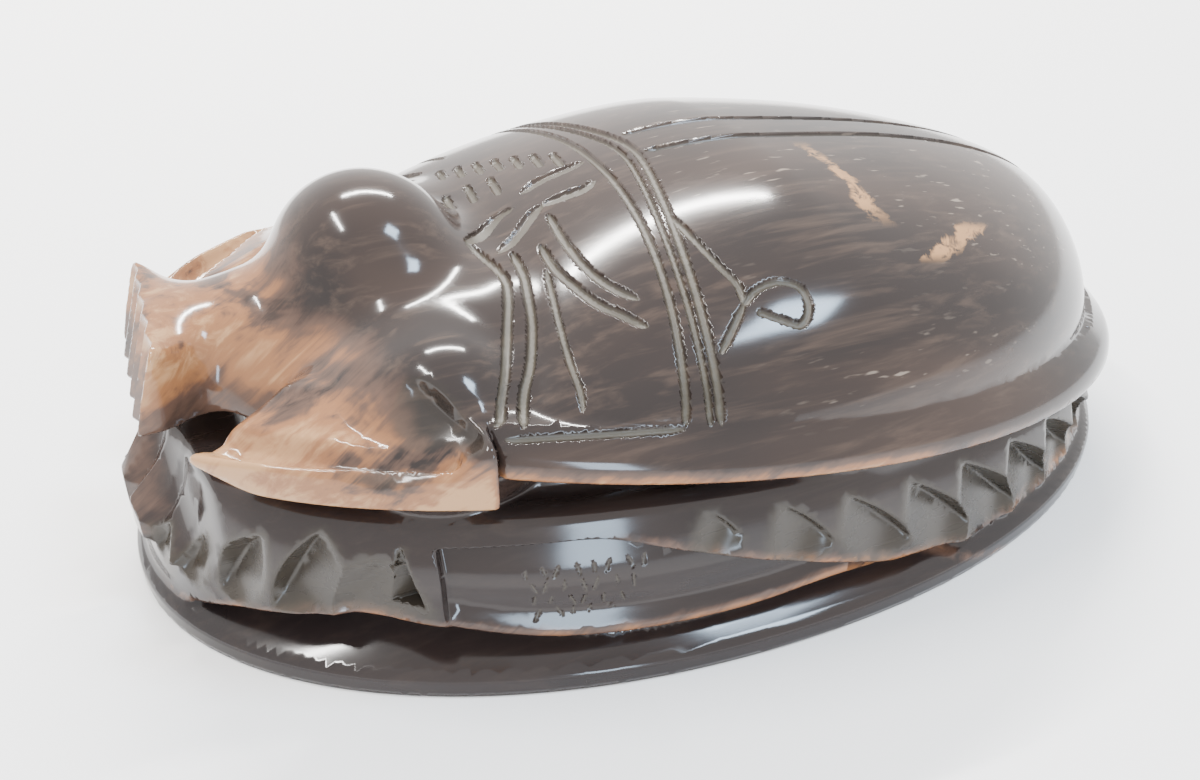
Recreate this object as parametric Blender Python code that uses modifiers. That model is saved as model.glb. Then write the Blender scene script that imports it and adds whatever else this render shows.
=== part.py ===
"""A scarab carved from one piece of dark horn: beetle, tier of legs and stepped plinth in one solid.

Metres, +Z up. The origin is at the centre of the underside, the head points to -Y and the tail to +Y.
The form is one smooth function of position, and a voxel skin is drawn onto it and thinned out.
"""
import bpy
import bmesh
import numpy as np

MM = 0.001

# Driving dimensions
LENGTH = 100.0 * MM        # plinth, head to tail
WIDTH = 63.8 * MM          # plinth, side to side
HEIGHT = 33.0 * MM         # underside to the top of the head
PLINTH_BAND = 1.8 * MM     # upright edge of the plinth
COVE_DEPTH = 4.5 * MM      # how far the groove under the tier runs in
RIM_HEIGHT = 1.9 * MM      # upright edge of the beetle's rim
GROOVE_WIDTH = 1.2 * MM    # engraved lines between and across the wing cases
GROOVE_DEPTH = 0.5 * MM

# Mesh sizes
VOXEL = 0.5 * MM
FACES = 9700               # triangles left in the finished solid

# The carving is laid out in hundredths of the length, and follows the width and the height.
UNIT = LENGTH / 100.0
STRETCH = np.array([WIDTH / 63.8, UNIT, HEIGHT / 33.0])
EDGE = 0.6                 # radius on the crisp edges

# Plinth and tier, in those units
PLINTH = dict(half_width=31.9, half_length=50.0, power=2.09, tail=-0.01)
BAND = PLINTH_BAND / STRETCH[2]
COVE = COVE_DEPTH / UNIT
LIP = 4.0                  # usual height of the tier's lower lip
LIP_SET_BACK = 1.1
CORE_SET_BACK = 6.5
TIER_TOP = 15.0

# Beetle
BODY = dict(half_width=31.8, half_length=48.0, power=2.05, centre=0.9, tail=0.04)
BACK = dict(half_width=29.9, half_length=44.7, power=2.0, centre=0.9, tail=0.04)
RIM_LOW = 16.3             # rim's lower edge at mid length
RIM_FALL = 0.125           # how the rim falls towards the tail
RIM = RIM_HEIGHT / STRETCH[2]
BACK_FOOT = 19.1           # where the back starts, at mid length
BACK_FALL = 0.105
BACK_CROWN = 8.0           # y of the highest cross-section
BACK_RISE = 14.3
BACK_FRONT = 31.0          # from the crown to where the back ends under the head
ARMS = dict(half_width=31.2, half_length=50.0, power=2.04)
ARM_LOW = 18.2
ARM_TOP = 20.4
ARM_END = -24.3            # y of the square elbow end
ARM_TIP = 13.6             # x of the tip beside the face
MOUND = ((0.0, -20.0, 16.2), (24.8, 18.8, 11.0))
SHOULDER = ((14.0, -25.0, 18.2), (10.8, 9.4, 7.6))
DOME = ((17.2, -25.2, 21.4), (6.4, 5.4, 4.9))
ELBOW = ((18.9, -28.6, 24.3), (22.4, -27.0, 22.9), (26.0, -25.2, 21.4))
ELBOW_RADIUS = 0.9
HEAD = ((0.0, -26.8, 24.8), (9.5, 8.2, 8.2))

# Carving on the legs. Angles run round the tier from the head (0) to the tail (180). Each front cut
# gives its angle, height, set-back, half length and depth.
FRONT_CUTS = ((15.0, 8.3, 0.9, 2.9, 1.1), (23.0, 9.0, 1.0, 3.6, 1.3), (31.0, 9.9, 1.2, 4.1, 1.3),
              (39.0, 10.9, 1.5, 4.1, 1.15))
FRONT_LEAN = 53.0          # degrees from level, rising towards the tail
WEDGE_ANGLE, WEDGE_FOOT, WEDGE_TALL, WEDGE_WIDE = 50.2, 8.3, 4.7, 1.35
REAR_FIRST, REAR_STEP, REAR_COUNT = 80.3, 8.4, 12
REAR_LEAN = -40.0
REAR_DEPTH = 1.25
PANEL_FRONT = -28.6        # y where the plain hollow panel between the legs starts
PANEL_DEPTH = 1.8
TOE_STEP = 4.3             # spacing of the toes' ridges at the front
TOOTH_STEP = 3.5           # spacing of the five teeth on the face plate

# Engraved lines on the back, as pairs symmetrical about the middle
SEAM_HALF = 2.4            # seam between the wing cases, half its width
BAND_FRONT, BAND_BACK = -5.9, -1.9
BAND_SWEEP = 0.2           # how far the rear band line swings forward towards the rim


def ramp(value, low, high):
    t = np.clip((value - low) / (high - low), 0.0, 1.0)
    return t * t * (3.0 - 2.0 * t)


def bump(value, centre, width):
    return np.exp(-((value - centre) / width) ** 2)


def join(a, b, radius):
    """Union with a fillet."""
    h = np.clip(0.5 + 0.5 * (b - a) / radius, 0.0, 1.0)
    return b + (a - b) * h - radius * h * (1.0 - h)


def meet(a, b, radius):
    """Intersection with a rounded edge."""
    return -join(-a, -b, radius)


def oval(x, y, half_width, half_length, power, centre=0.0, tail=0.0):
    """Distance in plan from an oval outline, negative inside."""
    v = y - centre
    half = half_width * (1.0 + tail * v / half_length)
    u, w = np.abs(x / half), np.abs(v / half_length)
    r = np.maximum((u ** power + w ** power) ** (1.0 / power), 1e-3)
    slope = np.hypot((u / r) ** (power - 1.0) / half, (w / r) ** (power - 1.0) / half_length)
    return (r - 1.0) / np.maximum(slope, 1e-4)


def ball(x, y, z, at, size):
    dx, dy, dz = x - at[0], y - at[1], z - at[2]
    k = np.sqrt((dx / size[0]) ** 2 + (dy / size[1]) ** 2 + (dz / size[2]) ** 2)
    g = np.sqrt((dx / size[0] ** 2) ** 2 + (dy / size[1] ** 2) ** 2 + (dz / size[2] ** 2) ** 2)
    return k * (k - 1.0) / np.maximum(g, 1e-6)


def plinth(x, y, z):
    s = oval(x, y, **PLINTH)
    inward = np.clip(-s, 0.0, COVE + 1.5)
    slope = BAND + 0.36 * inward + 0.03 * inward ** 2
    return meet(s, (z - slope) * 0.92, 0.7)


def lip_height(y):
    """The tier's lower edge: high under the front leg, low towards the tail."""
    front_leg = 2.7 * bump(y, -33.5, 9.5) - 2.4 * ramp(-y, 42.0, 49.0)
    return LIP + front_leg + 0.6 * bump(y, 3.0, 6.0) - 1.0 * ramp(y, 10.0, 20.0)


def tier_top(y):
    return join(TIER_TOP + 0.0 * y, 14.9 - 0.125 * y, 2.0)


def leg_edge(y):
    """Height of the rear leg's lower edge, which falls towards the tail."""
    return join(12.9 + 0.0 * y, 13.3 - 0.34 * (y + 17.5), 0.8)


def on_tier(angle, height, set_back):
    """A point on the tier's side, the way out of it and the way along it towards the tail."""
    wide, long = PLINTH["half_width"] - set_back, PLINTH["half_length"] - set_back
    c, s = np.cos(np.radians(angle)), np.sin(np.radians(angle))
    out = np.array([s / wide, -c / long, 0.0])
    along = np.array([c * wide, s * long, 0.0])
    return np.array([wide * s, -long * c, height]), out / np.hypot(*out[:2]), along / np.hypot(*along[:2])


def local(x, y, z, angle, height, lean, set_back):
    """Lengths along, across and out from a place on the tier's side."""
    at, out, along = on_tier(angle, height, set_back)
    tilt = np.radians(lean)
    run = along * np.cos(tilt) + np.array([0.0, 0.0, np.sin(tilt)])
    p = np.stack([x, y, z], -1) - at
    return p @ run, p @ np.cross(run, out), p @ out


def gouge(x, y, z, angle, height, lean, set_back, half, depth, steep, gentle, blunt, bend):
    """A leaf-shaped cut with one steep wall and one gentle one, fuller at its low end."""
    u, v, w = local(x, y, z, angle, height, lean, set_back)
    t = u / half
    deep = depth * np.sqrt(np.maximum(1.0 - t * t, 0.0)) * (1.0 + blunt * t)
    deep = deep - 0.8 * half * np.maximum(np.abs(t) - 1.0, 0.0)
    v = v - bend * (np.minimum(t * t, 1.0) - 0.4)
    wall = (-deep - w - steep * v) / np.hypot(1.0, steep)
    floor = (-deep - w + gentle * v) / np.hypot(1.0, gentle)
    return meet(wall, floor, 0.4)


def leg_carving(x, y, z):
    """Every gouge in the legs, as one cutter."""
    u, v, w = local(x, y, z, WEDGE_ANGLE, WEDGE_FOOT, 90.0, 1.6)
    fall = np.clip(1.0 - u / WEDGE_TALL, 0.0, 1.0)
    sides = np.maximum(np.abs(v - 0.3 * fall) - WEDGE_WIDE * fall, -0.2 - u)
    cut = np.maximum(sides, 0.7 * (0.9 * np.abs(v - 0.75 * fall) - w - 1.5 * fall))
    cut = np.maximum(cut, u - WEDGE_TALL)
    for angle, height, set_back, half, depth in FRONT_CUTS:
        cut = np.minimum(cut, gouge(x, y, z, angle, height, FRONT_LEAN, set_back, half, depth, 1.2, 0.55,
                                    -0.4, 0.6))
    for i in range(REAR_COUNT):
        angle = REAR_FIRST + REAR_STEP * i
        at_y = -PLINTH["half_length"] * np.cos(np.radians(angle))
        low, top = max(leg_edge(at_y), lip_height(at_y)), tier_top(at_y)
        cut = np.minimum(cut, gouge(x, y, z, angle, 0.5 * (low + top) + 0.3, REAR_LEAN, 1.5,
                                    0.68 * (top - low) + 0.6, REAR_DEPTH, 3.0, 0.42, 0.35, 0.3))
    return cut


def toe_front(x, y, z):
    """The toes: ridges that slope from the lip up and back under the face."""
    lane = x * (1.0 + 0.12 * (y + 46.0) / 9.0) / TOE_STEP
    groove = 1.0 - np.clip(np.abs(lane - np.floor(lane) - 0.5) * TOE_STEP / 0.95, 0.0, 1.0)
    groove = groove * (1.0 - ramp(x, 9.5, 11.0)) * ramp(z, 6.3, 6.9)
    rise = np.clip(z - 10.2 + 0.35 * x, 0.0, 8.0) * (0.62 + 0.12 * np.clip(x, 0.0, 7.0))
    return LIP_SET_BACK - 0.7 * ramp(z, 6.2, 6.6) + rise + groove * (1.0 - 0.5 * ramp(z, 11.0, 16.0))


def tier(x, y, z):
    s = oval(x, y, **PLINTH)
    low, top = lip_height(y), tier_top(y)
    rise = np.clip((z - low) / (top - low), 0.0, 1.0)
    front = ramp(-y, 42.5, 47.5)
    waist = LIP_SET_BACK * (1.0 - ramp(y, 8.0, 24.0)) + 2.2 * rise - 0.8 * np.sin(np.pi * rise)
    side = s + waist * (1.0 - front) + toe_front(x, y, z) * front
    hollow = ramp(leg_edge(y) - z, -0.2, 0.8) * (0.3 + 0.7 * ramp(z - low, 0.2, 2.8))
    side = side + PANEL_DEPTH * hollow * ramp(y, PANEL_FRONT, PANEL_FRONT + 1.0)
    under = (low - 0.25 * np.clip(-s - LIP_SET_BACK, 0.0, COVE) - z) * 0.97
    block = meet(meet(side * 0.9, under, 0.6), z - top, 1.4)
    block = meet(block, -leg_carving(x, y, z), EDGE)
    core = meet(s + CORE_SET_BACK, z - RIM_LOW - 3.0, 1.0)
    return join(block, core, 1.2)


def rim(x, y, z):
    s = oval(x, y, **BODY)
    low = RIM_LOW - RIM_FALL * y
    shelf = low + RIM + 0.85 * np.clip(-s, 0.0, 2.2)
    flange = meet(meet(s, low - z, 0.9), (z - shelf) * 0.75, 1.0)
    return meet(flange, -(y + 24.0), 1.0)


def back(x, y, z):
    """Elliptic cross-sections over an oval plan, highest a little behind the middle."""
    t = (y - BACK["centre"]) / BACK["half_length"]
    half = BACK["half_width"] * (1.0 + BACK["tail"] * t) * np.sqrt(np.maximum(1.0 - t * t, 4e-3))
    tail_end = BACK["centre"] + BACK["half_length"] + 0.6
    behind = np.clip((y - BACK_CROWN) / (tail_end - BACK_CROWN), 0.0, 1.0)
    before = np.clip((BACK_CROWN - y) / BACK_FRONT, 0.0, 1.0)
    rise = BACK_RISE * np.maximum(1.0 - behind ** 2.9, 4e-3) ** 0.35
    rise = rise * np.maximum(1.0 - before ** 1.6, 0.04) ** 0.625
    foot = BACK_FOOT - BACK_FALL * y
    power = 2.0 + 0.2 * ramp(y, -5.0, 12.0) - 0.35 * ramp(y, 20.0, 42.0)
    k = ((x / half) ** power + (np.abs(z - foot) / rise) ** power) ** (1.0 / power)
    dome = (k - 1.0) * np.minimum(half, rise)
    ends = np.maximum(y - tail_end, BACK_CROWN - BACK_FRONT - y)
    return np.maximum(dome, ends)


def arms(x, y, z):
    s = oval(x, y, **ARMS)
    inset = np.clip(-s, 0.0, 8.0)
    shelf = ARM_TOP + (0.25 - 0.6 * ramp(-y, 33.0, 40.0)) * inset + 2.0 * ramp(y, -29.0, -25.2)
    facet = ramp(inset, 0.2, 1.0) * (1.0 - ramp(inset, 2.3, 3.0)) * ramp(y, -42.5, -39.0) * ramp(-y, 26.5, 27.8)
    band = meet(meet(s, ARM_LOW - z, 0.9), (z - shelf + 0.75 * facet) * 0.95, 0.5)
    band = meet(band, y - ARM_END, 0.5)
    return meet(band, ARM_TIP - x - 0.4 * (y + 44.0), 1.2)


def rod(x, y, z, a, b, radius):
    """A round bar between two points."""
    a, b = np.array(a), np.array(b)
    p, d = np.stack([x, y, z], -1) - a, b - a
    t = np.clip(p @ d / (d @ d), 0.0, 1.0)
    return np.linalg.norm(p - t[..., None] * d, axis=-1) - radius


def face(x, y, z):
    """Neck and the flared, toothed plate at the front of the head."""
    half = 6.8 + 2.5 * ramp(-y, 40.0, 46.0) + 1.2 * ramp(y, -37.0, -30.0) + 0.1 * (z - 25.0)
    arch = 0.05 * (1.0 - ramp(-y, 40.5, 45.5))
    top = 25.2 + 1.3 * ramp(y, -41.0, -33.0) - arch * x ** 2
    front = -y - 45.1 - 0.33 * (25.3 - z) + 0.4 * (1.0 - np.cos(2.0 * np.pi * x / TOOTH_STEP))
    front = front * 0.9
    block = meet(meet((x - half) * 0.95, (z - top) * 0.9, 1.3), 17.7 - z, 0.8)
    return meet(meet(block, front, 0.5), y + 26.0, 1.0)


def engraved_lines(x, y, z):
    """Depth of the seam's two grooves and of the two band grooves across the back."""
    seam = np.where(y > BAND_BACK, np.abs(x - SEAM_HALF), 9.0)
    front = np.abs(y - BAND_FRONT + 0.0055 * x * x)
    rear = np.abs(y - BAND_BACK + BAND_SWEEP * np.hypot(x, 2.5) - 0.5) * 0.98
    gap = np.minimum(seam, np.minimum(front, rear)) * 2.0 * UNIT / GROOVE_WIDTH
    depth = GROOVE_DEPTH / UNIT * np.clip(1.0 - gap * gap, 0.0, 1.0)
    return depth * ramp(z, 20.4, 21.2)


def form(points):
    """The whole carving: below zero inside, zero on the surface. Points are in metres."""
    q = points / STRETCH
    x, y, z = np.abs(q[:, 0]), q[:, 1], q[:, 2]
    base = join(plinth(x, y, z), tier(x, y, z), 0.5)
    beetle = join(rim(x, y, z), back(x, y, z), 0.5)
    mound = meet(ball(x, y, z, *MOUND), ARM_LOW + 0.3 - z, 1.0)
    beetle = join(beetle, mound, 1.5)
    beetle = join(beetle, ball(x, y, z, *SHOULDER), 2.0)
    beetle = join(beetle, arms(x, y, z), 0.6)
    beetle = join(beetle, ball(x, y, z, *DOME), 0.9)
    elbow = np.minimum(rod(x, y, z, ELBOW[0], ELBOW[1], ELBOW_RADIUS), rod(x, y, z, ELBOW[1], ELBOW[2], ELBOW_RADIUS))
    beetle = join(beetle, elbow, 0.9) + engraved_lines(x, y, z)
    beetle = join(beetle, face(x, y, z), 1.6)
    beetle = join(beetle, ball(x, y, z, *HEAD), 1.4)
    whole = join(base, beetle, 0.6)
    return meet(whole, -z, 0.5) * UNIT


def gradient(points, value):
    step = 2e-6
    out = np.empty_like(points)
    for axis in range(3):
        moved = points.copy()
        moved[:, axis] += step
        out[:, axis] = (form(moved) - value) / step
    return out


def draw_onto_form(points, rounds):
    """Newton steps along the gradient, each at most half a millimetre."""
    for _ in range(rounds):
        value = form(points)
        slope = gradient(points, value)
        size = np.maximum((slope ** 2).sum(1), 0.05)
        move = -(value / size)[:, None] * slope
        length = np.linalg.norm(move, axis=1)
        move *= np.minimum(1.0, 0.5 * MM / np.maximum(length, 1e-12))[:, None]
        points = points + move
    return points


def skin_of_form(step):
    """A closed skin of quads: one point in each grid cell that the surface passes through."""
    lines = [np.arange(low, high, step) for low, high in
             ((-0.51 * WIDTH - 2.0 * step, 0.51 * WIDTH + 2.0 * step),
              (-0.51 * LENGTH - 2.0 * step, 0.51 * LENGTH + 2.0 * step),
              (-2.5 * step, 1.02 * HEIGHT + 3.0 * step))]
    corners = np.stack(np.meshgrid(*lines, indexing="ij"), -1)
    value = form(corners.reshape(-1, 3)).reshape(corners.shape[:3])
    cells = tuple(n - 1 for n in value.shape)
    total, count, walls = np.zeros(cells + (3,)), np.zeros(cells), []
    for axis in range(3):
        u, v = (axis + 1) % 3, (axis + 2) % 3
        first = np.moveaxis(value, axis, 0)[:-1]
        second = np.moveaxis(value, axis, 0)[1:]
        cross = np.moveaxis((first < 0.0) != (second < 0.0), 0, axis)
        for border in (u, v):
            np.moveaxis(cross, border, 0)[[0, -1]] = False
        at = np.argwhere(cross)
        a, b = value[tuple(at.T)], value[tuple((at + np.eye(3, dtype=int)[axis]).T)]
        point = corners[tuple(at.T)].copy()
        point[:, axis] += step * a / (a - b)
        around = []
        for du, dv in ((1, 1), (0, 1), (0, 0), (1, 0)):
            cell = at.copy()
            cell[:, u] -= du
            cell[:, v] -= dv
            np.add.at(total, tuple(cell.T), point)
            np.add.at(count, tuple(cell.T), 1.0)
            around.append(np.ravel_multi_index(tuple(cell.T), cells))
        around = np.stack(around, -1)
        walls.append(np.where((a < 0.0)[:, None], around, around[:, ::-1]))
    used = np.flatnonzero(count)
    number = np.full(count.size, -1)
    number[used] = np.arange(len(used))
    points = total.reshape(-1, 3)[used] / count.ravel()[used][:, None]
    data = bpy.data.meshes.new("skin_of_form")
    data.from_pydata(points.tolist(), [], number[np.concatenate(walls)].tolist())
    return data


def drop_crumbs(data):
    """Keeps the largest shell of the mesh."""
    made = bmesh.new()
    made.from_mesh(data)
    shells, left = [], dict.fromkeys(made.verts)
    while left:
        stack, shell = [next(iter(left))], []
        del left[stack[0]]
        while stack:
            vert = stack.pop()
            shell.append(vert)
            for other in (e.other_vert(vert) for e in vert.link_edges):
                if other in left:
                    del left[other]
                    stack.append(other)
        shells.append(shell)
    shells.sort(key=len)
    bmesh.ops.delete(made, geom=[v for shell in shells[:-1] for v in shell], context="VERTS")
    made.to_mesh(data)
    made.free()


def apply_modifiers(obj):
    """Replaces the object's mesh by its evaluated mesh."""
    graph = bpy.context.evaluated_depsgraph_get()
    data = bpy.data.meshes.new_from_object(obj.evaluated_get(graph), depsgraph=graph)
    obj.modifiers.clear()
    obj.data = data
    return data


def points_of(data):
    flat = np.empty(len(data.vertices) * 3, dtype=np.float32)
    data.vertices.foreach_get("co", flat)
    return flat.reshape(-1, 3).astype(np.float64)


def set_points(data, points):
    data.vertices.foreach_set("co", points.astype(np.float32).ravel())
    data.update()


def relax(points, edges, rounds):
    """Evens out the mesh: each point moves towards the mean of its neighbours."""
    for _ in range(rounds):
        total = np.zeros_like(points)
        count = np.zeros(len(points))
        for a, b in ((0, 1), (1, 0)):
            np.add.at(total, edges[:, a], points[edges[:, b]])
            np.add.at(count, edges[:, a], 1.0)
        points = points + 0.5 * (total / np.maximum(count, 1.0)[:, None] - points)
        points = draw_onto_form(points, 2)
    return points


def horn_material():
    material = bpy.data.materials.new("dark_horn")
    material.use_nodes = True
    shader = material.node_tree.nodes["Principled BSDF"]
    shader.inputs["Base Color"].default_value = (0.075, 0.05, 0.04, 1.0)
    shader.inputs["Roughness"].default_value = 0.2
    shader.inputs["Metallic"].default_value = 0.0
    return material


def carved_scarab(collection):
    obj = bpy.data.objects.new("carved_scarab", skin_of_form(VOXEL))
    collection.objects.link(obj)
    remesh = obj.modifiers.new("Skin", "REMESH")
    remesh.mode = "VOXEL"
    remesh.voxel_size = VOXEL
    skin = apply_modifiers(obj)
    drop_crumbs(skin)
    set_points(skin, draw_onto_form(points_of(skin), 4))
    points = points_of(skin)
    edges = np.empty(len(skin.edges) * 2, dtype=np.int32)
    skin.edges.foreach_get("vertices", edges)
    edges = edges.reshape(-1, 2)
    points = relax(points, edges, 3)
    points = draw_onto_form(points, 6)
    points[:, 2] = np.where(points[:, 2] < 0.05 * MM, 0.0, points[:, 2])
    set_points(skin, points)
    thin = obj.modifiers.new("Thin out", "DECIMATE")
    thin.ratio = FACES / sum(len(p.vertices) - 2 for p in skin.polygons)
    solid = apply_modifiers(obj)
    points = points_of(solid)
    points[:, 2] = np.where(points[:, 2] < 0.02 * MM, 0.0, points[:, 2])
    set_points(solid, points)
    drop_crumbs(solid)
    solid.name = "carved_scarab"
    solid.materials.append(horn_material())
    solid.shade_smooth()
    solid.set_sharp_from_angle(angle=0.7)
    return obj


def clear_scene():
    for obj in list(bpy.data.objects):
        bpy.data.objects.remove(obj, do_unlink=True)


def main():
    clear_scene()
    collection = bpy.data.collections.new("scarab_amulet")
    bpy.context.scene.collection.children.link(collection)
    carved_scarab(collection)


main()
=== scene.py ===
import math

import bmesh
import bpy
import numpy as np
from mathutils import Matrix, Vector


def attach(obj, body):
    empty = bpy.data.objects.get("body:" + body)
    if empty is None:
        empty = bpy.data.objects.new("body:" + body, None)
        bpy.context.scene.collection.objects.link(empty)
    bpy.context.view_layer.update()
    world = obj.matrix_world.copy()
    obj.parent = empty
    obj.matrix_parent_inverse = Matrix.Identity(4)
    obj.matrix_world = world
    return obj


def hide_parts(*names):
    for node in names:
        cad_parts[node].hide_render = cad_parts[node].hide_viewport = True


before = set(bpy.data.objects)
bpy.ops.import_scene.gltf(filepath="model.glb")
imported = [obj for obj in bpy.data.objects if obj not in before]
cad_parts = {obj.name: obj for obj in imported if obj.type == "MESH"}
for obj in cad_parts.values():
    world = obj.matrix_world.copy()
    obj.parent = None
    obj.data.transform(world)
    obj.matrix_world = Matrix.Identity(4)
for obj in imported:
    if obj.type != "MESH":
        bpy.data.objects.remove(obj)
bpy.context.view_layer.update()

# ---- Camera ------------------------------------------------------------------------------------
# A phone held close in front of the left foreleg and above it, so the head end looks large and the
# tail small. The aim and the distance are in millimetres.
AIM = Vector((-0.67, -4.98, 6.94))
AZIMUTH, ELEVATION, DISTANCE = math.radians(22.77), math.radians(31.45), 115.14
towards = Vector((math.cos(AZIMUTH) * math.cos(ELEVATION), -math.sin(AZIMUTH) * math.cos(ELEVATION),
                  math.sin(ELEVATION)))
camera_data = bpy.data.cameras.new("phone")
camera_data.sensor_fit = "HORIZONTAL"
camera_data.angle = 2 * math.atan(600 / 1150)
camera_data.clip_start = 0.005
camera = bpy.data.objects.new("phone", camera_data)
camera.matrix_world = (Matrix.Translation((AIM + towards * DISTANCE) * 0.001)
                       @ towards.to_track_quat("Z", "Y").to_matrix().to_4x4())
bpy.context.scene.collection.objects.link(camera)
bpy.context.scene.camera = camera

# ---- The carved horn ---------------------------------------------------------------------------
# One block of dark horn. The carver sawed the oval plinth, cut the folded legs as a tier on it and
# rounded the beetle over them, gouged the legs, engraved the back with a small burr and polished it.
# Lengths are in millimetres. Each solid shape is a distance: negative inside the horn, positive out.
PLINTH = dict(half_width=31.9, half_length=50.0, power=2.09, tail=-0.01)
BODY = dict(half_width=31.8, half_length=48.0, power=2.05, centre=0.9, tail=0.04)
BACK = dict(half_width=29.9, half_length=44.7, height=14.3, centre=0.9, tail=0.04)
ARMS = dict(half_width=31.2, half_length=50.0, power=2.04)
MOUND = ((0.0, -20.0, 16.2), (24.8, 18.8, 11.0))
SHOULDER = ((14.0, -25.0, 18.2), (10.8, 9.4, 7.6))
DOME = ((17.2, -25.2, 21.4), (6.4, 5.4, 4.9))
SADDLE = ((9.2, -22.3, 21.9), (6.5, 7.5, 4.6))
HEAD = ((0.0, -26.8, 24.8), (9.5, 8.2, 8.2))
CRISP = 0.25               # radius left on a cut edge after polishing
ELBOW = dict(half=3.2, depth=0.8, steep=1.0, gentle=0.33, blunt=0.15, bend=-0.3)
GRID, FINEST = 0.67, 0.24  # spacing of the skin's points, and of those in the burr's cuts


def ramp(value, low, high):
    t = np.clip((value - low) / (high - low), 0.0, 1.0)
    return t * t * (3.0 - 2.0 * t)


def bump(value, centre, width):
    return np.exp(-((value - centre) / width) ** 2)


def join(a, b, radius):
    """Both shapes, with a fillet between them."""
    h = np.clip(0.5 + 0.5 * (b - a) / radius, 0.0, 1.0)
    return b + (a - b) * h - radius * h * (1.0 - h)


def meet(a, b, radius):
    """What two shapes share, with a rounded edge."""
    return -join(-a, -b, radius)


def oval(x, y, half_width, half_length, power, centre=0.0, tail=0.0):
    """Distance in plan from an oval outline."""
    v = y - centre
    half = half_width * (1.0 + tail * v / half_length)
    u, w = np.abs(x / half), np.abs(v / half_length)
    r = np.maximum((u ** power + w ** power) ** (1.0 / power), 1e-3)
    slope = np.hypot((u / r) ** (power - 1.0) / half, (w / r) ** (power - 1.0) / half_length)
    return (r - 1.0) / np.maximum(slope, 1e-4)


def ball(x, y, z, at, size):
    """Distance from an egg shape, given its centre and half sizes."""
    dx, dy, dz = x - at[0], y - at[1], z - at[2]
    k = np.sqrt((dx / size[0]) ** 2 + (dy / size[1]) ** 2 + (dz / size[2]) ** 2)
    g = np.sqrt((dx / size[0] ** 2) ** 2 + (dy / size[1] ** 2) ** 2 + (dz / size[2] ** 2) ** 2)
    return k * (k - 1.0) / np.maximum(g, 1e-6)


def plinth(x, y, z):
    """The low foot, with a hollowed top."""
    s = oval(x, y, **PLINTH)
    inward = np.clip(-s, 0.0, 6.0)
    return meet(s, (z - 1.8 - 0.36 * inward - 0.03 * inward ** 2) * 0.92, 0.4)


def lip_height(y):
    """The tier's lower edge: high under the front leg, low towards the tail."""
    front_leg = 2.7 * bump(y, -33.5, 9.5) - 2.4 * ramp(-y, 42.0, 49.0)
    return 4.0 + front_leg + 0.6 * bump(y, 3.0, 6.0) - 1.0 * ramp(y, 10.0, 20.0)


def tier_top(y):
    return join(15.0 + 0.0 * y, 14.9 - 0.125 * y, 2.0)


def leg_edge(y):
    """Height of the rear leg's lower edge, which falls towards the tail."""
    return join(12.9 + 0.0 * y, 13.3 - 0.34 * (y + 17.5), 0.8)


def on_tier(x, y, z, angle, height, lean, set_back):
    """Lengths along, across and out from a place on the tier's side. The angle runs round it from the
    head (0) to the tail (180), and the lean is the cut's rise towards the tail."""
    wide, long = PLINTH["half_width"] - set_back, PLINTH["half_length"] - set_back
    c, s = math.cos(math.radians(angle)), math.sin(math.radians(angle))
    out = np.array([s / wide, -c / long, 0.0])
    out /= np.linalg.norm(out)
    along = np.array([-out[1], out[0], 0.0])
    tilt = math.radians(lean)
    run = along * math.cos(tilt) + np.array([0.0, 0.0, math.sin(tilt)])
    across = np.cross(run, out)
    px, py, pz = x - wide * s, y + long * c, z - height
    return [px * a[0] + py * a[1] + pz * a[2] for a in (run, across, out)]


def leaf(u, v, w, half, depth, steep, gentle, blunt, bend=0.0):
    """A leaf-shaped cut with one steep wall and one gentle one; blunt > 0 is fuller at its far end."""
    t = u / half
    deep = depth * np.maximum(1.0 - t * t, 0.0) ** 0.75 * (1.0 + blunt * t)
    deep = deep - 0.8 * half * np.maximum(np.abs(t) - 1.0, 0.0)
    v = v - bend * (np.minimum(t * t, 1.0) - 0.4)
    wall = (-deep - w - steep * v) / math.hypot(1.0, steep)
    floor = (-deep - w + gentle * v) / math.hypot(1.0, gentle)
    return meet(wall, floor, 0.35)


GOUGES = [dict(angle=a, height=h, lean=52.0, set_back=b, half=n, depth=d, steep=1.1, gentle=0.62, blunt=-0.45,
               bend=0.7)
          for a, h, b, n, d in ((15.0, 8.3, 0.9, 2.9, 1.1), (23.0, 9.0, 1.0, 3.6, 1.3), (31.0, 9.9, 1.2, 4.1, 1.3))]
GOUGES.append(dict(angle=39.0, height=10.9, lean=58.0, set_back=1.5, half=4.1, depth=1.15, steep=2.2, gentle=0.42,
                   blunt=-0.3, bend=0.3))
for step in range(12):
    angle = 80.3 + 8.4 * step
    at_y = np.array(-PLINTH["half_length"] * math.cos(math.radians(angle)))
    low, top = float(max(leg_edge(at_y), lip_height(at_y))), float(tier_top(at_y))
    GOUGES.append(dict(angle=angle, height=0.5 * low + 0.5 * top + 0.5, lean=-40.0, set_back=1.5,
                       half=0.57 * (top - low) + 0.5, depth=1.25, steep=3.0, gentle=0.42, blunt=0.35, bend=0.3))


def gouge(x, y, z, angle, height, lean, set_back, **shape):
    return leaf(*on_tier(x, y, z, angle, height, lean, set_back), **shape)


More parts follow.
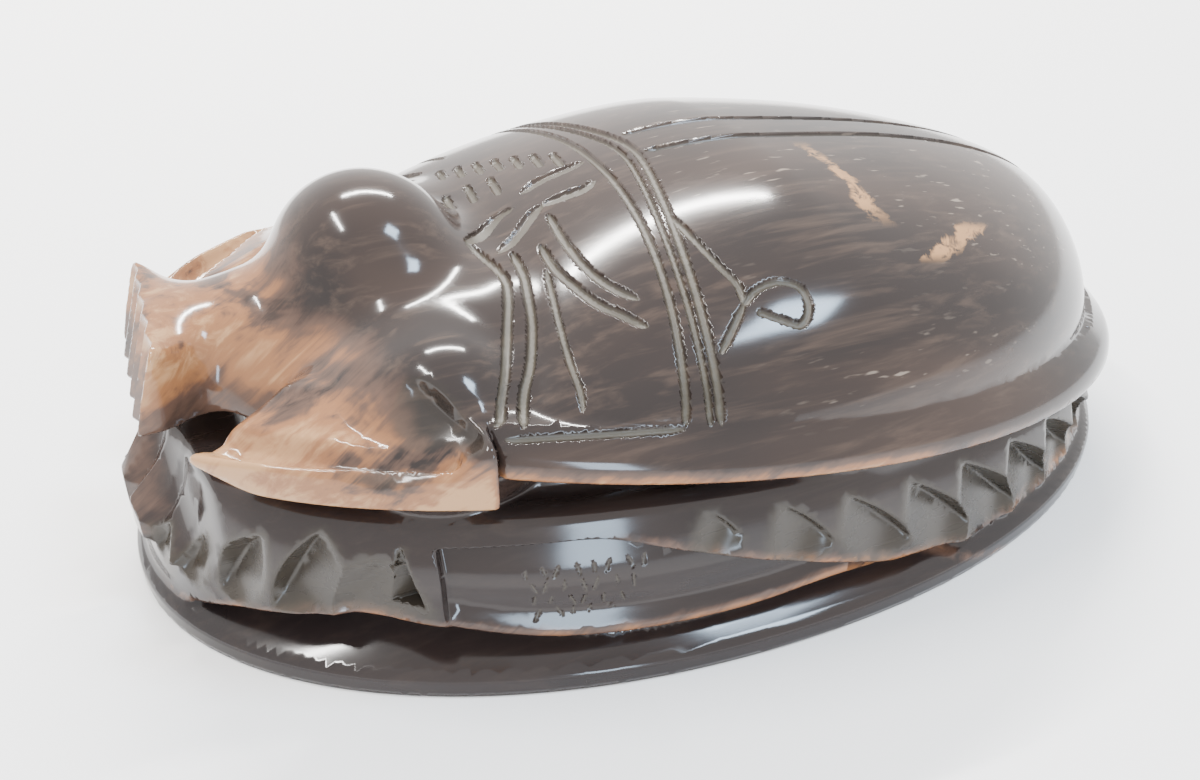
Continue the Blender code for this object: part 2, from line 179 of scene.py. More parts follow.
def leg_carving(x, y, z):
    """Every gouge in the legs, as one cutter."""
    cut = np.full_like(x, 50.0)
    for g in GOUGES:
        at = math.radians(g["angle"])
        near = np.hypot(x - 31.0 * math.sin(at), y + 49.0 * math.cos(at)) < 10.0
        cut[near] = np.minimum(cut[near], gouge(x[near], y[near], z[near], **g))
    near = (y < -20.0) & (z < 18.0)
    nx, ny, nz = x[near], y[near], z[near]
    u, v, w = on_tier(nx, ny, nz, 50.2, 8.3, 90.0, 1.6)
    fall = np.clip((4.7 - u) / 4.7, 0.0, 1.0)
    wedge = np.maximum(np.abs(v - 0.3 * fall) - 1.35 * fall, -0.2 - u)
    wedge = np.maximum(wedge, (-w - 0.75 * fall + 0.55 * np.abs(v - 0.75 * fall) + 1.2 * (u > 4.7)) * 0.7)
    facet = gouge(nx, ny, nz, 46.3, 9.3, 47.0, 1.5, half=3.0, depth=0.28, steep=0.4, gentle=0.22, blunt=0.0)
    cut[near] = np.minimum(cut[near], np.minimum(wedge, facet))
    return cut


def toe_front(x, y, z):
    """The toes' long ridges, sloping from the lip up and back under the face."""
    lane = (x + 0.12 * x * (y + 46.0) / 9.0) / 4.3
    groove = 1.0 - np.clip(np.abs(lane - np.round(lane + 0.5) + 0.5) * 4.3 / 0.95, 0.0, 1.0)
    groove = groove * (1.0 - ramp(x, 9.5, 11.0)) * ramp(z, 6.3, 6.9)
    rise = np.clip(z - 10.2 + 0.35 * x, 0.0, 8.0) * (0.62 + 0.12 * np.clip(x, 0.0, 7.0))
    return 1.1 - 0.7 * ramp(z, 6.2, 6.6) + rise + groove * (1.0 - 0.5 * ramp(z, 11.0, 16.0))


def tier(x, y, z):
    """The folded legs: a band round a core, with the toes in front and a hollow panel on each flank."""
    s = oval(x, y, **PLINTH)
    low, top = lip_height(y), tier_top(y)
    rise = np.clip((z - low) / (top - low), 0.0, 1.0)
    front = ramp(-y, 42.5, 47.5)
    waist = 2.2 * rise - 0.8 * np.sin(np.pi * rise)
    side = s + (1.1 * (1.0 - ramp(y, 8.0, 24.0)) + waist) * (1.0 - front) + toe_front(x, y, z) * front
    hollow = ramp(leg_edge(y) - z, -0.1, 0.5) * (0.25 + 0.75 * ramp(z - low, 0.1, 2.6))
    side = side + 1.8 * hollow * ramp(y, -28.8, -28.0) * (1.0 - 0.35 * bump(z, 0.5 * (low + 13.0), 3.0))
    under = (low - 0.25 * np.clip(-s - 1.1, 0.0, 4.5) - z) * 0.97
    block = meet(meet(side * 0.9, under, 0.45), z - top, 1.2)
    block = meet(block, -leg_carving(x, y, z), CRISP)
    core = meet(s + 6.5, z - 19.3 + 5.0 * ramp(-y, 36.5, 40.5), 1.0)
    return join(block, core, 1.2)


def rim_underside(y):
    return 16.3 - 0.125 * y


def rim(x, y, z):
    """The flat band that the wing cases rest on."""
    s = oval(x, y, **BODY)
    low = rim_underside(y)
    shelf = low + 1.9 + 0.85 * np.clip(-s, 0.0, 2.2)
    flange = meet(meet(s, low - z, 0.9), (z - shelf) * 0.75, 0.9)
    return meet(flange, -(y + 24.0), 0.5)


def back(x, y, z):
    """Rounded cross-sections over an oval plan, highest a little behind the middle."""
    t = (y - BACK["centre"]) / BACK["half_length"]
    half = BACK["half_width"] * (1.0 + BACK["tail"] * t) * np.sqrt(np.maximum(1.0 - t * t, 4e-3))
    behind = np.clip((y - 8.0) / 38.2, 0.0, 1.0)
    before = np.clip((8.0 - y) / 31.0, 0.0, 1.0)
    rise = BACK["height"] * np.maximum(1.0 - behind ** 2.9, 4e-3) ** 0.35
    rise = rise * np.maximum(1.0 - before ** 1.6, 0.04) ** 0.625
    foot = 19.1 - 0.105 * y
    power = 2.0 + 0.2 * ramp(y, -5.0, 12.0) - 0.35 * ramp(y, 20.0, 42.0)
    k = ((x / half) ** power + (np.abs(z - foot) / rise) ** power) ** (1.0 / power)
    return np.maximum((k - 1.0) * np.minimum(half, rise), np.maximum(y - 46.2, -23.0 - y))


def arms(x, y, z):
    """The folded forelegs, with a long hollow facet and a square elbow end."""
    s = oval(x, y, **ARMS)
    inset = np.clip(-s, 0.0, 8.0)
    shelf = 20.3 + 0.25 * inset - 0.6 * ramp(-y, 33.0, 40.0) * np.minimum(inset, 2.0) + 2.0 * ramp(y, -27.4, -25.0)
    shelf = shelf - 0.7 * ramp(-y, 39.0, 44.5)
    wide = 2.3 + 1.6 * ramp(-y, 31.0, 40.0)
    facet = ramp(inset, 0.4, 1.6) * (1.0 - ramp(inset - wide, -1.0, 0.4)) * ramp(y, -43.5, -40.0)
    facet = facet * ramp(-y, 25.9, 26.7)
    band = meet(meet(s, 17.2 + 1.3 * ramp(-y, 39.5, 44.5) - z, 0.6), (z - shelf + facet) * 0.95, 0.8)
    band = meet(band, y + 24.3, 0.35)
    return meet(band, 13.6 - x - 0.4 * (y + 44.0), 2.2)


ELBOW_RUN = np.array([0.84, 0.45, -0.30])
ELBOW_OUT = np.array([0.46, -0.56, 0.69])
ELBOW_RUN /= np.linalg.norm(ELBOW_RUN)
ELBOW_OUT -= ELBOW_RUN * (ELBOW_RUN @ ELBOW_OUT)
ELBOW_OUT /= np.linalg.norm(ELBOW_OUT)


def elbow_hollow(x, y, z):
    """The three-sided hollow at the elbow, under a crisp ridge."""
    across = np.cross(ELBOW_RUN, ELBOW_OUT)
    px, py, pz = x - 22.7, y + 26.5, z - 23.0
    u, v, w = (px * a[0] + py * a[1] + pz * a[2] for a in (ELBOW_RUN, across, ELBOW_OUT))
    return leaf(u, v, w, **ELBOW)


def face(x, y, z):
    """The neck, and the flared plate with five teeth at the front of the head."""
    root = 0.45 * np.clip(25.0 - z, 0.0, 8.0) * ramp(y, -43.5, -36.5)
    half = 6.8 + 2.5 * ramp(-y, 40.0, 46.0) + 0.1 * (z - 25.0) + root
    arch = 0.05 * (1.0 - ramp(-y, 40.5, 45.5))
    top = 25.2 + 1.3 * ramp(y, -41.0, -33.0) - arch * x ** 2
    tooth = 0.9 * (1.0 - np.abs(((x + 1.75) / 3.5 % 1.0) * 2.0 - 1.0))
    front = -y - 45.1 - 0.33 * (25.3 - z) + tooth * ramp(26.0 - z, 0.0, 2.5)
    block = meet(meet((x - half) * 0.95, (z - top) * 0.9, 1.4 + 2.2 * ramp(y, -44.5, -40.0)), 17.7 - z, 0.6)
    return meet(meet(block, front * 0.8, 0.3), y + 26.0, 1.0)


def horn(p):
    """The whole carving before engraving, at points in millimetres."""
    x, y, z = np.abs(p[:, 0]), p[:, 1], p[:, 2]
    base = join(plinth(x, y, z), tier(x, y, z), 1.1)
    beetle = join(rim(x, y, z), back(x, y, z), 0.35)
    beetle = join(beetle, meet(ball(x, y, z, *MOUND), 18.5 - z, 1.0), 1.5)
    beetle = join(beetle, ball(x, y, z, *SHOULDER), 2.0)
    beetle = join(beetle, ball(x, y, z, *DOME), 1.2)
    beetle = join(beetle, ball(x, y, z, *SADDLE), 3.5)
    beetle = join(beetle, arms(x, y, z), 0.5)
    head = join(face(x, y, z), ball(x, y, z, *HEAD), 2.4)
    beetle = join(beetle, head, 3.0)
    beetle = meet(beetle, -elbow_hollow(x, y, z), 0.25)
    return meet(join(base, beetle, 0.6), -z, 0.3)


def slope_of(surface, p, value):
    """How fast a surface's value rises along each axis."""
    out = np.empty_like(p)
    for axis in range(3):
        moved = p.copy()
        moved[:, axis] += 0.002
        out[:, axis] = (surface(moved) - value) / 0.002
    return out


def unit(v):
    return v / np.maximum(np.linalg.norm(v, axis=1), 1e-6)[:, None]


def settle(p, rounds):
    """Moves points onto the carving, straight along its slope, at most half a millimetre at a time."""
    for _ in range(rounds):
        value = horn(p)
        slope = slope_of(horn, p, value)
        move = -(value / np.maximum((slope ** 2).sum(1), 0.05))[:, None] * slope
        length = np.linalg.norm(move, axis=1)
        p = p + move * np.minimum(1.0, 0.5 / np.maximum(length, 1e-9))[:, None]
    return p


# The engraving. Each stroke is a few points that the burr passed, given from above as (x, y), or as
# (x, y, z) on the steep flanks. The width and depth are the cut's, and its ends run out to nothing.
def stroke(points, width=0.9, depth=0.36, taper=1.0, flat=0.3, dirt=1.0):
    return dict(points=points, width=width, depth=depth, taper=taper, flat=flat, dirt=dirt)


BANDS = [lambda x: -5.9 - 0.0055 * x * x, lambda x: -2.8 - 0.2 * math.hypot(x, 3.0),
         lambda x: -1.7 - 0.21 * math.hypot(x, 2.5)]
strokes = []
for line, wide, end_z in zip(BANDS, (0.85, 0.7, 0.9), (22.0, 21.4, 21.4)):
    across_back = [(x, line(x)) for x in np.linspace(-27.6, 27.6, 25)]
    ends = [(side * 28.9, line(29.0), end_z) for side in (-1, 1)]
    strokes.append(stroke([ends[0]] + across_back + [ends[1]], wide, 0.4, taper=0.6))
strokes += [
    stroke([(1.6, -1.6), (2.2, 4.0), (2.5, 12.0), (2.5, 20.0), (2.8, 28.0), (2.9, 34.0), (2.7, 39.0, 25.0),
            (2.5, 43.0, 22.0), (2.3, 45.6, 17.5)], 1.15, 0.42),
    stroke([(-3.3, -1.6), (-3.0, 6.0), (-2.6, 13.0), (-2.0, 25.0), (-1.7, 33.0), (-1.7, 39.0, 25.0),
            (-1.9, 43.0, 22.0), (-2.1, 45.6, 17.5)], 1.15, 0.42),
    stroke([(4.4, -19.2), (7.1, -18.6), (10.7, -18.1), (13.0, -18.5), (16.0, -19.6), (19.8, -21.0),
            (21.8, -21.9), (24.4, -23.1), (24.9, -23.7)], 0.95, 0.42),
    stroke([(7.9, -16.4), (11.0, -16.6), (13.9, -17.2), (16.6, -17.9), (20.1, -19.3), (22.5, -20.7),
            (25.6, -21.8)], 0.95, 0.42),
    stroke([(12.1, -15.0), (15.4, -15.7), (17.9, -16.2), (21.5, -16.8), (24.2, -17.0), (25.6, -17.3)], 0.7, 0.28),
    stroke([(5.5, -12.3), (9.8, -12.6), (14.1, -12.4), (17.1, -11.6), (19.4, -10.3)], 0.95, 0.4),
    stroke([(8.9, -14.3), (12.3, -14.4), (15.3, -13.9), (18.1, -13.1), (20.1, -11.9), (22.0, -10.7)], 0.95, 0.42),
    stroke([(-14.5, -18.9), (-19.8, -21.0), (-24.9, -23.7)], 0.9, 0.36),
    stroke([(-16.6, -17.4), (-20.1, -18.9), (-25.6, -21.8)], 0.9, 0.36),
    stroke([(-17.6, -14.6), (-21.5, -15.6), (-25.6, -16.9)], 0.7, 0.28),
    # bent leaves on the shield
    stroke([(4.8, -19.2), (3.2, -17.4), (1.8, -15.7), (1.8, -14.2)], 1.5, 0.32, taper=1.6, flat=0.7),
    stroke([(0.2, -12.8), (-0.4, -10.6), (-0.3, -8.4), (-0.3, -6.8)], 1.5, 0.32, taper=1.6, flat=0.7),
    stroke([(7.1, -17.3), (5.9, -15.2), (4.1, -13.0), (3.8, -12.1)], 1.4, 0.32, taper=1.4, flat=0.7),
    stroke([(3.8, -12.1), (4.0, -10.2), (4.2, -8.6), (3.8, -7.4)], 1.5, 0.32, taper=1.6, flat=0.7),
    # looped sign on the left wing case
    stroke([(12.0, -4.3), (14.6, -4.0), (16.9, -3.7), (19.2, -3.3), (21.2, -2.8), (22.9, -3.1)], 0.8, 0.36),
    stroke([(22.9, -3.1), (24.4, -4.8), (25.7, -6.4)], 0.8, 0.36),
    stroke([(22.9, -3.1), (22.1, -1.6), (22.0, 0.3), (22.9, 1.7), (24.4, 1.7), (25.5, 0.5), (24.8, -0.9),
            (23.7, -2.4)], 0.8, 0.36, taper=0.2),
    # spoon cut at the foreleg's tip
    stroke([(11.9, -40.4, 18.7), (11.6, -38.0, 20.2), (11.0, -35.8, 21.6)], 1.7, 0.45, taper=1.8, flat=0.3,
           dirt=0.35),
]
for side in (-1, 1):
    strokes.append(stroke([(side * 26.0, -23.4, 22.3), (side * 26.9, -19.5, 22.1), (side * 27.7, -15.5, 21.8),
                           (side * 28.6, -10.6, 21.5)], 0.7, 0.28))
for step in range(7):
    x, y = -12.6 + 1.6 * step, -16.3 + 1.37 * step
    strokes.append(stroke([(x - 1.8, y), (x + 1.8, y - 0.3)], 0.95, 0.36, taper=0.5))
for x, y in ((-4.6, -18.0), (-5.0, -15.9), (-3.9, -14.0)):
    strokes.append(stroke([(x - 2.0, y + 0.2), (x + 2.2, y - 0.2)], 0.95, 0.36, taper=0.5))
# rows of short shallow marks on the hollow panel
for row in range(4):
    for mark in range(8 - row):
        y = -22.6 + 1.35 * mark + 0.35 * row
        z = 10.1 - 1.3 * row - 0.08 * mark
        lean = 0.5 * math.sin(2.3 * mark + 1.7 * row)
        strokes.append(stroke([(27.0, y, z + 0.5), (27.0, y + lean, z - 0.5)], 0.35, 0.1, taper=0.3, dirt=0.5))


def smooth_line(points):
    """A curve through the points, four samples to a span."""
    p = np.array(points, float)
    ends = np.vstack([2 * p[0] - p[1], p, 2 * p[-1] - p[-2]])
    out = []
    for a, b, c, d in zip(ends[:-3], ends[1:-2], ends[2:-1], ends[3:]):
        for t in np.linspace(0.0, 1.0, 5)[:-1]:
            out.append(0.5 * (2 * b + (c - a) * t + (2 * a - 5 * b + 4 * c - d) * t * t
                              + (3 * b - a - 3 * c + d) * t ** 3))
    return np.array(out + [p[-1]])


def drop(x, y):
    """Height of the back under a point seen from above."""
    low, high = np.full(len(x), 20.0), np.full(len(x), 34.0)
    for _ in range(18):
        middle = 0.5 * (low + high)
        inside = horn(np.stack([x, y, middle], -1)) < 0.0
        low, high = np.where(inside, middle, low), np.where(inside, high, middle)
    return low


for s in strokes:
    p = np.array([(*q, 0.0) if len(q) == 2 else q for q in s["points"]], float)
    flat = np.array([len(q) == 2 for q in s["points"]])
    if flat.any():
        p[flat, 2] = drop(p[flat, 0], p[flat, 1])
    s["line"] = settle(smooth_line(p), 5)
    steps = np.linalg.norm(np.diff(s["line"], axis=0), axis=1)
    s["reach"] = np.concatenate([[0.0], np.cumsum(steps)])


def engraving(p, margin=0.0):
    """Depth of the engraving at points on the surface, and how much grime lies in it."""
    depth, dirt = np.zeros(len(p)), np.zeros(len(p))
    for s in strokes:
        line, width = s["line"], s["width"]
        pad = width + margin
        which = np.flatnonzero((p > line.min(0) - pad).all(1) & (p < line.max(0) + pad).all(1))
        if not len(which):
            continue
        q = p[which]
        best, where = np.full(len(q), 1e9), np.zeros(len(q))
        for a, b, r in zip(line[:-1], line[1:], s["reach"]):
            d = b - a
            length = math.sqrt(d @ d) + 1e-9
            t = np.clip(((q - a) @ d) / length ** 2, 0.0, 1.0)
            gap = np.linalg.norm(q - a - t[:, None] * d, axis=1)
            closer = gap < best
            best, where = np.where(closer, gap, best), np.where(closer, r + t * length, where)
        ends = np.minimum(where, s["reach"][-1] - where)
        run_out = np.clip(ends / s["taper"], 0.0, 1.0) ** 0.5 * 0.75 + 0.25
        across = np.clip((best - margin) / (0.5 * width * run_out), 0.0, 1.0)
        cut = s["depth"] * run_out * np.clip((1.0 - across ** 2) / (1.0 - s["flat"] ** 2), 0.0, 1.0) ** 0.8
        depth[which] = np.maximum(depth[which], cut)
        dirt[which] = np.maximum(dirt[which], s["dirt"] * ramp(1.0 - across, 0.1, 0.65))
    return depth, dirt


def points_of(mesh):
    flat = np.empty(len(mesh.vertices) * 3, dtype=np.float32)
    mesh.vertices.foreach_get("co", flat)
    return flat.reshape(-1, 3).astype(np.float64) * 1000.0


def put_points(mesh, p):
    mesh.vertices.foreach_set("co", (p * 0.001).astype(np.float32).ravel())
    mesh.update()


def skin_of_horn(step):
    """Points and four-sided faces of the skin. Each grid cell that the surface passes has one point, placed
    where the tangent planes around it meet, so crisp edges stay crisp."""
    half = np.arange(0.5, 33.5 / step) * step
    lines = [np.concatenate([-half[::-1], half]), np.arange(-51.0, 51.0, step), np.arange(-1.1, 34.5, step)]
    corners = np.stack(np.meshgrid(*lines, indexing="ij"), -1)
    right = horn(corners[len(half):].reshape(-1, 3)).reshape(len(half), *corners.shape[1:3])
    value = np.concatenate([right[::-1], right])
    cells = tuple(n - 1 for n in value.shape)
    owners, planes, walls = [], [], []
    for axis in range(3):
        u, v = (axis + 1) % 3, (axis + 2) % 3
        first, second = np.moveaxis(value, axis, 0)[:-1], np.moveaxis(value, axis, 0)[1:]
        at = np.argwhere(np.moveaxis((first < 0.0) != (second < 0.0), 0, axis))
        beyond = at + np.eye(3, dtype=int)[axis]
        here, there = value[tuple(at.T)], value[tuple(beyond.T)]
        inside = here < 0.0
        near, far = np.zeros(len(at)), np.ones(len(at))
        for _ in range(3):
            t = near + (far - near) * here / (here - there)
            point = corners[tuple(at.T)].copy()
            point[:, axis] += step * t
            found = horn(point)
            before = (found < 0.0) == inside
            near, here = np.where(before, t, near), np.where(before, found, here)
            far, there = np.where(before, far, t), np.where(before, there, found)
        normal = unit(slope_of(horn, point, found))
        plane = np.concatenate([(normal[:, :, None] * normal[:, None, :]).reshape(-1, 9),
                                normal * (normal * point).sum(1)[:, None], point, np.ones((len(at), 1))], 1)
        around = []
        for du, dv in ((1, 1), (0, 1), (0, 0), (1, 0)):
            cell = at.copy()
            cell[:, u] -= du
            cell[:, v] -= dv
            around.append(np.ravel_multi_index(tuple(cell.T), cells))
            planes.append(plane)
        owners += around
        around = np.stack(around, -1)
        walls.append(np.where(inside[:, None], around, around[:, ::-1]))
    used, owner = np.unique(np.concatenate(owners), return_inverse=True)
    planes = np.concatenate(planes)
    total = np.stack([np.bincount(owner, planes[:, k]) for k in range(16)], -1)
    mean = total[:, 12:15] / total[:, 15:]
    hold = 0.06 * total[:, 15:]
    system = total[:, :9].reshape(-1, 3, 3) + hold[:, :, None] * np.eye(3)
    point = np.linalg.solve(system, (total[:, 9:12] + hold * mean)[..., None])[..., 0]
    point = mean + np.clip(point - mean, -0.6 * step, 0.6 * step)
    return point, np.searchsorted(used, np.concatenate(walls))


points, faces = skin_of_horn(GRID)
mesh = bpy.data.meshes.new("polished_scarab")
mesh.from_pydata((settle(points, 2) * 0.001).tolist(), [], faces.tolist())
scarab = bpy.data.objects.new("polished_scarab", mesh)
bpy.context.scene.collection.objects.link(scarab)

# The flat underside needs few faces, and the skin is split at crisp edges and where the burr cut.
skin = bmesh.new()
skin.from_mesh(mesh)
for vert in skin.verts:
    if vert.co.z < 4e-5:
        vert.co.z = 0.0
under = [f for f in skin.faces if all(v.co.z == 0.0 for v in f.verts)]
bmesh.ops.dissolve_faces(skin, faces=under, use_verts=True)
bmesh.ops.triangulate(skin, faces=skin.faces)
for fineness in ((0.5, 0.36, FINEST)):
    p = np.array([v.co for v in skin.verts]) * 1000.0
    if fineness < 0.4:
        p = settle(p, 2)
        for vert, spot in zip(skin.verts, p):
            vert.co = spot * 0.001 if vert.co.z > 0.0 else vert.co
    cut = engraving(p, 0.4 * fineness)[0] > 0.0
    normal = unit(slope_of(horn, p, horn(p)))
    skin.verts.index_update()
    near = []
    for e in skin.edges:
        a, b = (v.index for v in e.verts)
        if e.calc_length() * 1000.0 > fineness and p[a, 2] + p[b, 2] > 0.1:
            if cut[a] or cut[b] or (fineness > 0.3 and p[a, 2] > 3.0 and normal[a] @ normal[b] < 0.85):
                near.append(e)
    bmesh.ops.subdivide_edges(skin, edges=near, cuts=1, use_grid_fill=False)
    bmesh.ops.triangulate(skin, faces=[f for f in skin.faces if len(f.verts) > 3])
skin.to_mesh(mesh)
skin.free()
mesh.validate()
q = settle(points_of(mesh), 3)
depth, dirt = engraving(q)
normal = unit(slope_of(horn, q, horn(q)))
lean = slope_of(lambda k: engraving(k)[0], q, depth)
lean -= normal * (lean * normal).sum(1)[:, None]
p = q - normal * depth[:, None]
p[:, 2] = np.where(q[:, 2] < 0.04, 0.0, p[:, 2])     # the underside stays flat
put_points(mesh, p)
mesh.shade_smooth()
mesh.normals_split_custom_set_from_vertices(unit(normal + lean))
# What the horn looks like from place to place: how amber it is, how matte, and where grime stayed.
ax, y, z = np.abs(p[:, 0]), p[:, 1], p[:, 2]
outside_body = oval(ax, y, **BODY)
neck = ramp(-y, 31.0, 37.5) * ramp(z, 16.0, 18.5) * (0.4 + 0.6 * ramp(z, 20.0, 23.5))
arm = ramp(-y, 24.0, 25.0) * ramp(z, 16.6, 17.4) * ramp(ax, 10.0, 14.0)
forearm = arm * (1.0 - ramp(z, 20.8, 22.0) * (0.35 + 0.65 * (1.0 - ramp(-y, 27.0, 33.0))))
saddle = ramp(-y, 28.5, 34.0) * ramp(z, 19.0, 21.0) * (1.0 - ramp(z, 24.0, 27.0)) * ramp(ax, 6.0, 9.0)
rim_height = z - rim_underside(y)
rim_low = ramp(y, -24.6, -24.0) * (1.0 - ramp(rim_height, 0.4, 1.7)) * ramp(rim_height, -0.8, 0.0)
rim_low = rim_low * ramp(outside_body, -1.2, -0.2) * (0.35 + 0.65 * (1.0 - ramp(y, -5.0, 25.0)))
lip = (1.0 - ramp(z - lip_height(y), 0.3, 1.1)) * ramp(z - lip_height(y), -0.6, 0.0) * 0.45
leg_lip = bump(z - leg_edge(y), 0.3, 0.45) * ramp(y, -20.0, -8.0) * (1.0 - ramp(y, 25.0, 35.0)) * 0.4
toes = ramp(-y, 44.5, 48.0) * ramp(z, 6.4, 7.5) * 0.225
amber = np.maximum.reduce([neck * 0.8, forearm * 0.85, saddle * 0.75, rim_low * 0.75,
                            lip * ramp(z, 2.4, 2.8), leg_lip, toes])
cut = leg_carving(ax, y, z)
matte = (1.0 - ramp(np.abs(cut), 0.05, 0.5)) * (z < 17.5) * (z > lip_height(y) + 0.1)
matte = np.maximum(matte, 0.4 - 0.4 * ramp(np.abs(elbow_hollow(ax, y, z)), 0.05, 0.25))
for name, values in (("grime", dirt), ("amber", amber), ("matte", matte)):
    layer = mesh.attributes.new(name, "FLOAT", "POINT")
    layer.data.foreach_set("value", np.clip(values, 0.0, 1.0).astype(np.float32))


class Wire:
    """A node socket that takes part in Python arithmetic."""

    def __init__(self, tree, socket):
        self.tree, self.socket = tree, socket

    def node(self, kind, settings=None, output=0, **inputs):
        made = self.tree.nodes.new(kind)
        for name, value in (settings or {}).items():
            setattr(made, name, value)
        for name, value in inputs.items():
            key = int(name[1:]) if name[1:].isdigit() else name      # i0, i1 stand for numbered inputs
            if isinstance(value, Wire):
                self.tree.links.new(value.socket, made.inputs[key])
            else:
                made.inputs[key].default_value = value
        return Wire(self.tree, made.outputs[output])

    def maths(self, operation, *values):
        return self.node("ShaderNodeMath", {"operation": operation}, **{f"i{n}": v for n, v in enumerate(values)})

    def __add__(self, other):
        return self.maths("ADD", self, other)

    def __sub__(self, other):
        return self.maths("SUBTRACT", self, other)

    def __rsub__(self, other):
        return self.maths("SUBTRACT", other, self)

    def __mul__(self, other):
        return self.maths("MULTIPLY", self, other)

    __radd__, __rmul__ = __add__, __mul__

    def magnitude(self):
        return self.maths("ABSOLUTE", self)

    def between(self, low, high):
        """0 below the low value, 1 above the high one, smooth between."""
        return self.node("ShaderNodeMapRange", {"interpolation_type": "SMOOTHSTEP"}, i0=self, i1=low, i2=high)

    def mix(self, other, amount):
        """This colour turned into another by an amount."""
        return self.node("ShaderNodeMix", {"data_type": "RGBA"}, 2, i0=amount, i6=self, i7=other)


def colour(r, g, b):
    return (r, g, b, 1.0)


dark_horn = bpy.data.materials.new("dark_polished_horn")
dark_horn.use_nodes = True
tree = dark_horn.node_tree
shader = tree.nodes["Principled BSDF"]
place = Wire(tree, tree.nodes.new("ShaderNodeTexCoord").outputs["Object"])
split = place.node("ShaderNodeSeparateXYZ", Vector=place)
x, y, z = (Wire(tree, split.socket.node.outputs[n]) * 1000.0 for n in range(3))
grime, amber, matte = (place.node("ShaderNodeAttribute", {"attribute_name": name}, "Fac")
                       for name in ("grime", "amber", "matte"))


def noise(size, detail=3.0, roughness=0.55, warp=0.0, turn=0.0):
    """Noise with blotches of a size in millimetres along each axis, turned about the x axis."""
    stretched = place.node("ShaderNodeMapping", {"vector_type": "TEXTURE"}, Vector=place,
                           Rotation=(turn, 0.0, 0.0), Scale=tuple(0.001 * s for s in size))
    return place.node("ShaderNodeTexNoise", None, 0, Vector=stretched, Scale=1.0, Detail=detail,
                      Roughness=roughness, Distortion=warp)


grain = noise((1.3, 16.0, 1.1), 4.0, 0.6, 0.4)
clouds = noise((16.0, 34.0, 16.0), 2.0, 0.5, 0.5)
dashes = noise((0.55, 3.2, 0.55), 2.0, 0.5)
patches = noise((9.0, 10.0, 6.0), 3.0, 0.6, 0.8)
streaks = noise((1.6, 13.0, 1.2), 4.0, 0.65, 0.6, 0.65)
base = place.node("ShaderNodeMix", {"data_type": "RGBA"}, 2, i0=clouds.between(0.35, 0.65),
                  i6=colour(0.017, 0.012, 0.011), i7=colour(0.042, 0.026, 0.020))
base = base.mix(colour(0.095, 0.062, 0.045), grain.between(0.45, 0.8) * 0.5)
# painted shade: the legs' tier and the plinth under the beetle are darkened towards the bottom
base = base.mix(colour(0.010, 0.008, 0.009), (1.0 - z.between(13.5, 17.5)) * 0.7)
wing_cases = z.between(19.0, 22.0) * y.between(-8.0, 4.0)
base = base.mix(colour(0.30, 0.24, 0.19), dashes.between(0.64, 0.74) * wing_cases * clouds.between(0.35, 0.55) * 0.6)
# two pale flecks: each one's middle, its slope seen from above, its half width and its half length
for at_x, at_y, run, half, long in ((11.5, 12.3, -0.04, 1.0, 7.5), (20.0, 18.6, -2.2, 0.9, 6.0)):
    across = (y - at_y - (x - at_x) * run) * (1.0 / math.hypot(1.0, run))
    along = (x - at_x) * math.hypot(1.0, run)
    ragged = across + (patches - 0.5) * 4.0 + (streaks - 0.5) * 3.0
    fleck = (1.0 - ragged.magnitude().between(0.4 * half, half)) \
        * (1.0 - along.magnitude().between(0.5 * long, long))
    base = base.mix(colour(0.40, 0.21, 0.09), fleck * z.between(19.0, 21.0) * streaks.between(0.3, 0.5) * 0.9)
tone = amber + (patches - 0.5) * amber * 3.4 + (streaks - 0.5) * amber * 2.2
base = base.mix(colour(0.085, 0.048, 0.034), tone.between(0.05, 0.4))
base = base.mix(colour(0.24, 0.105, 0.045), tone.between(0.35, 0.75))
base = base.mix(colour(0.42, 0.24, 0.115), tone.between(0.75, 1.25) * 0.8)
base = base.mix(colour(0.040, 0.034, 0.024), matte * (0.25 + grain * 0.6))
base = base.mix(colour(0.085, 0.074, 0.052), grime * (0.35 + grain * 0.6))
tree.links.new(base.socket, shader.inputs["Base Color"])
rough = 0.09 + grime * 0.36 + matte * 0.16 + grain * 0.05
tree.links.new(rough.socket, shader.inputs["Roughness"])
shader.inputs["IOR"].default_value = 1.54
shader.inputs["Specular IOR Level"].default_value = 0.33
mesh.materials.clear()
mesh.materials.append(dark_horn)
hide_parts("carved_scarab")
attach(scarab, "root")

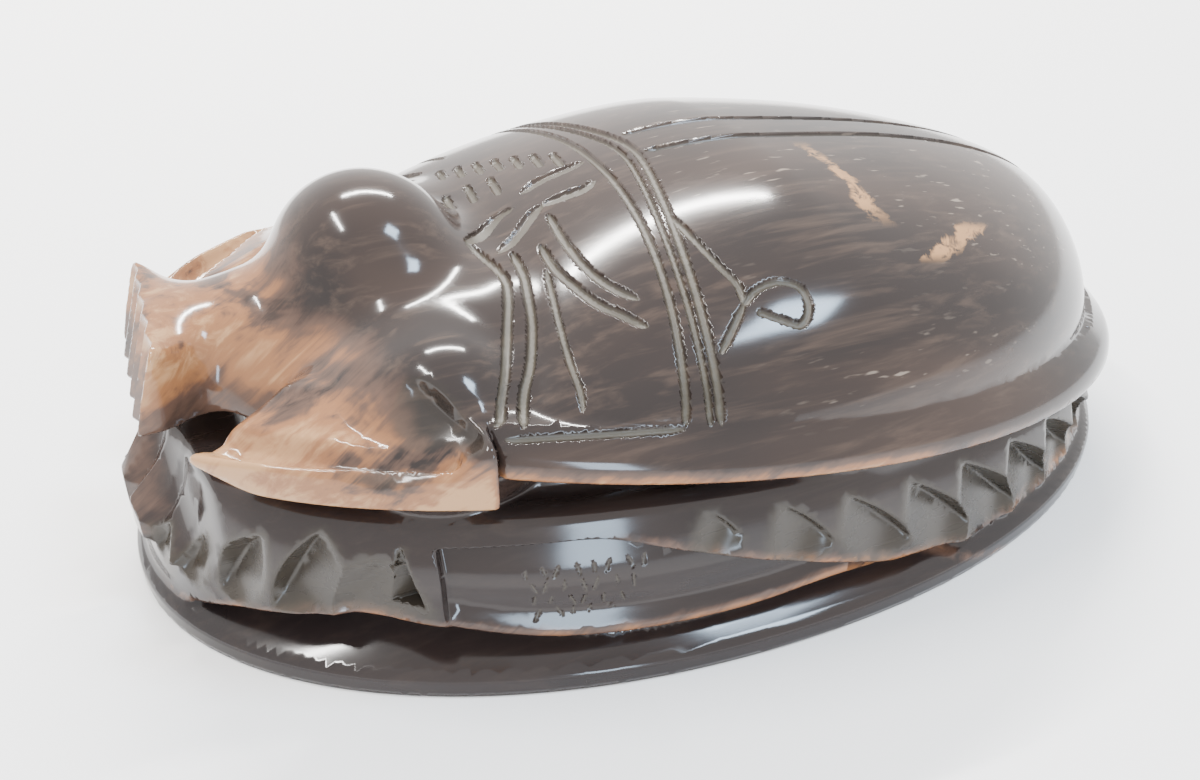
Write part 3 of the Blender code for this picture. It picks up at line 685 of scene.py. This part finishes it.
# ---- Floor -------------------------------------------------------------------------------------
# A plain pale sheet that the figure stands on.
sheet = bmesh.new()
bmesh.ops.create_grid(sheet, x_segments=2, y_segments=2, size=1.5)
floor_mesh = bpy.data.meshes.new("floor")
sheet.to_mesh(floor_mesh)
sheet.free()
floor = bpy.data.objects.new("floor", floor_mesh)
bpy.context.scene.collection.objects.link(floor)
paper = bpy.data.materials.new("pale_floor")
paper.use_nodes = True
paper.node_tree.nodes["Principled BSDF"].inputs["Base Color"].default_value = (0.93, 0.92, 0.91, 1.0)
paper.node_tree.nodes["Principled BSDF"].inputs["Roughness"].default_value = 0.9
floor_mesh.materials.append(paper)

# ---- Light -------------------------------------------------------------------------------------
# A white room with two lamp tubes under the ceiling, which shine straight down, and bluish daylight
# from two windows, which face the figure.
room = bpy.data.worlds.new("room")
room.use_nodes = True
room.node_tree.nodes["Background"].inputs["Color"].default_value = (1.0, 0.985, 0.97, 1.0)
room.node_tree.nodes["Background"].inputs["Strength"].default_value = 2.0
bpy.context.scene.world = room
LAMP_WHITE, DAYLIGHT = (1.0, 0.98, 0.95), (0.62, 0.80, 1.0)
for name, spot, turn, size, power, tint in (
        ("tube behind", (-0.37, 0.10, 0.50), 90.0, (0.40, 0.018), 9.0, LAMP_WHITE),
        ("tube ahead", (-0.11, -0.24, 0.50), 0.0, (0.22, 0.015), 3.0, LAMP_WHITE),
        ("window", (0.12, 0.22, 0.55), None, (0.11, 0.13), 2.6, DAYLIGHT),
        ("low window", (0.62, -0.05, 0.16), None, (0.10, 0.25), 2.2, DAYLIGHT)):
    light = bpy.data.lights.new(name, "AREA")
    light.shape = "RECTANGLE"
    light.size, light.size_y = size
    light.energy = power
    light.color = tint
    lamp = bpy.data.objects.new(name, light)
    if turn is None:
        facing = (Vector(spot) - Vector((0.0, 0.0, 0.02))).to_track_quat("Z", "Y").to_matrix().to_4x4()
    else:
        facing = Matrix.Rotation(math.radians(turn), 4, "Z")
    lamp.matrix_world = Matrix.Translation(Vector(spot)) @ facing
    bpy.context.scene.collection.objects.link(lamp)
